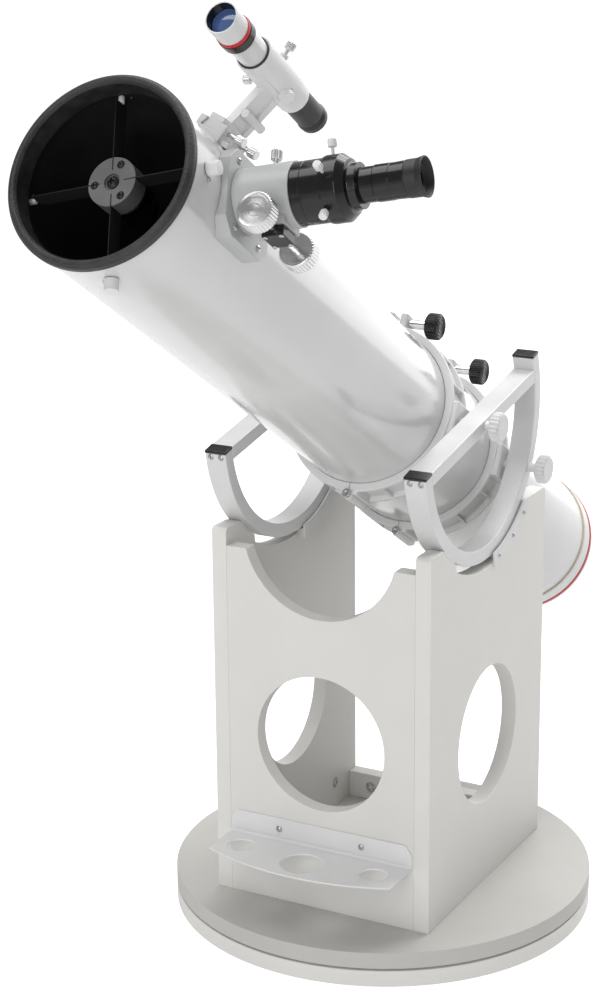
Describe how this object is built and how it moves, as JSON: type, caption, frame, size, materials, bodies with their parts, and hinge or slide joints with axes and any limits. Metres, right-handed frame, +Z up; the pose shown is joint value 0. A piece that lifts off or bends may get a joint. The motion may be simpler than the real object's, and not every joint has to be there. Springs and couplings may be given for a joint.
{
  "type": "telescope",
  "caption": "Dobsonian reflector telescope: white tube in ring cradle with D-shaped altitude bearings on a rocker box over a round turntable, with focuser, finder and tray.",
  "frame": {"origin": "on the azimuth axis at the level of the undersides of the feet", "axes": "+Z up along the azimuth axis, -Y towards the front board and the open end of the tube, +X towards the focuser side"},
  "size_m": [0.5303, 1.1235, 1.1159],
  "materials": {
    "white_board": "satin",
    "white_paint": "gloss",
    "black_plastic": "satin",
    "black_metal": "satin",
    "silver": "satin",
    "steel": "satin",
    "chrome": "gloss",
    "grey_paint": "satin",
    "red_metal": "gloss",
    "mirror": "gloss",
    "glass": "gloss",
    "black_rubber": "matte",
    "white_plastic": "satin"
  },
  "bodies": {
    "base": {"ground_board": "white_board", "feet": "black_plastic", "azimuth_pads": "white_plastic", "pivot_hardware": "steel"},
    "rocker": {"turntable_board": "white_board", "side_board_left": "white_board", "side_board_right": "white_board", "front_board": "white_board", "rear_brace": "white_board", "cam_fittings": "silver", "eyepiece_tray": "white_paint", "box_screws": "steel", "bearing_guides": "steel", "bearing_pads": "white_plastic"},
    "tube": {"altitude_arc_left": "silver", "altitude_arc_right": "silver", "cross_bars": "silver", "arc_end_caps": "black_plastic", "small_screws": "steel", "front_ring_left": "white_paint", "front_ring_right": "white_paint", "rear_ring_left": "white_paint", "rear_ring_right": "white_paint", "main_tube": "white_paint", "front_rim": "black_plastic", "rear_ring": "white_paint", "red_band": "red_metal", "mirror_cell": "black_metal", "primary_mirror": "mirror", "cell_screws": "steel", "spider_knobs": "steel", "spider_hub": "grey_paint", "spider_vanes": "black_metal", "secondary_mirror": "mirror", "secondary_holder": "black_metal", "focuser_base": "grey_paint", "focuser_housing": "grey_paint", "pinion_cover": "black_metal", "finder_shoe": "white_paint", "shoe_screws": "steel"},
    "clamp_knob_front": {"clamp_knob_front": "black_plastic"},
    "clamp_knob_rear": {"clamp_knob_rear": "black_plastic"},
    "bearing_knob_front_left": {"bearing_knob_front_left": "white_plastic"},
    "bearing_knob_front_right": {"bearing_knob_front_right": "white_plastic"},
    "bearing_knob_rear_left": {"bearing_knob_rear_left": "white_plastic"},
    "bearing_knob_rear_right": {"bearing_knob_rear_right": "white_plastic"},
    "drawtube": {"drawtube": "black_metal", "eyepiece_adapter": "black_metal", "adapter_screws": "steel"},
    "focus_wheel": {"focus_knobs": "silver"},
    "focus_lock": {"focus_lock_screw": "steel"},
    "eyepiece": {"eyepiece_body": "black_metal", "eyecup": "black_rubber", "eye_lens": "glass"},
    "finder": {"finder_bracket": "white_paint", "finder_adjusters": "steel", "finder_tube": "white_paint", "dew_shield": "white_paint", "finder_lens": "glass", "finder_eyepiece": "black_metal"}
  },
  "joints": [
    {"name": "azimuth_turn", "type": "hinge", "parent": "base", "child": "rocker", "pos_m": [0, 0, 0.0325], "axis": [0, 0, 1], "continuous": true},
    {"name": "altitude_tilt", "type": "hinge", "parent": "rocker", "child": "tube", "pos_m": [0, -0.017, 0.6208], "axis": [-1, 0, 0], "range_deg": [-32, 58]},
    {"name": "clamp_front_turn", "type": "hinge", "parent": "tube", "child": "clamp_knob_front", "pos_m": [0.03, 0.04209, 0.71536], "axis": [1, 0, 0], "continuous": true},
    {"name": "clamp_rear_turn", "type": "hinge", "parent": "tube", "child": "clamp_knob_rear", "pos_m": [0.03, 0.17099, 0.63481], "axis": [1, 0, 0], "continuous": true},
    {"name": "bearing_knob_front_left_turn", "type": "hinge", "parent": "tube", "child": "bearing_knob_front_left", "pos_m": [-0.15, -0.017, 0.6208], "axis": [-1, 0, 0], "continuous": true},
    {"name": "bearing_knob_front_right_turn", "type": "hinge", "parent": "tube", "child": "bearing_knob_front_right", "pos_m": [0.15, -0.017, 0.6208], "axis": [1, 0, 0], "continuous": true},
    {"name": "bearing_knob_rear_left_turn", "type": "hinge", "parent": "tube", "child": "bearing_knob_rear_left", "pos_m": [-0.15, 0.1119, 0.54025], "axis": [-1, 0, 0], "continuous": true},
    {"name": "bearing_knob_rear_right_turn", "type": "hinge", "parent": "tube", "child": "bearing_knob_rear_right", "pos_m": [0.15, 0.1119, 0.54025], "axis": [1, 0, 0], "continuous": true},
    {"name": "focus_travel", "type": "slide", "parent": "tube", "child": "drawtube", "axis": [0.9781, 0.1102, 0.1763], "range_m": [0, 0.03]},
    {"name": "focus_turn", "type": "hinge", "parent": "tube", "child": "focus_wheel", "pos_m": [0.13953, -0.49824, 0.91309], "axis": [0, -0.848, 0.5299], "range_deg": [-290, 0]},
    {"name": "focus_lock_turn", "type": "hinge", "parent": "tube", "child": "focus_lock", "pos_m": [0.1173, -0.46065, 0.97323], "axis": [-0.2079, 0.5183, 0.8295], "continuous": true},
    {"name": "eyepiece_pull", "type": "slide", "parent": "drawtube", "child": "eyepiece", "axis": [0.9781, 0.1102, 0.1763], "range_m": [0, 0.04]},
    {"name": "finder_slide", "type": "slide", "parent": "tube", "child": "finder", "axis": [0, -0.848, 0.5299], "range_m": [0, 0.065]}
  ],
  "couplings": [
    {"joint": "focus_turn", "follows": "focus_travel", "rad_per_m": -166.67}
  ]
}
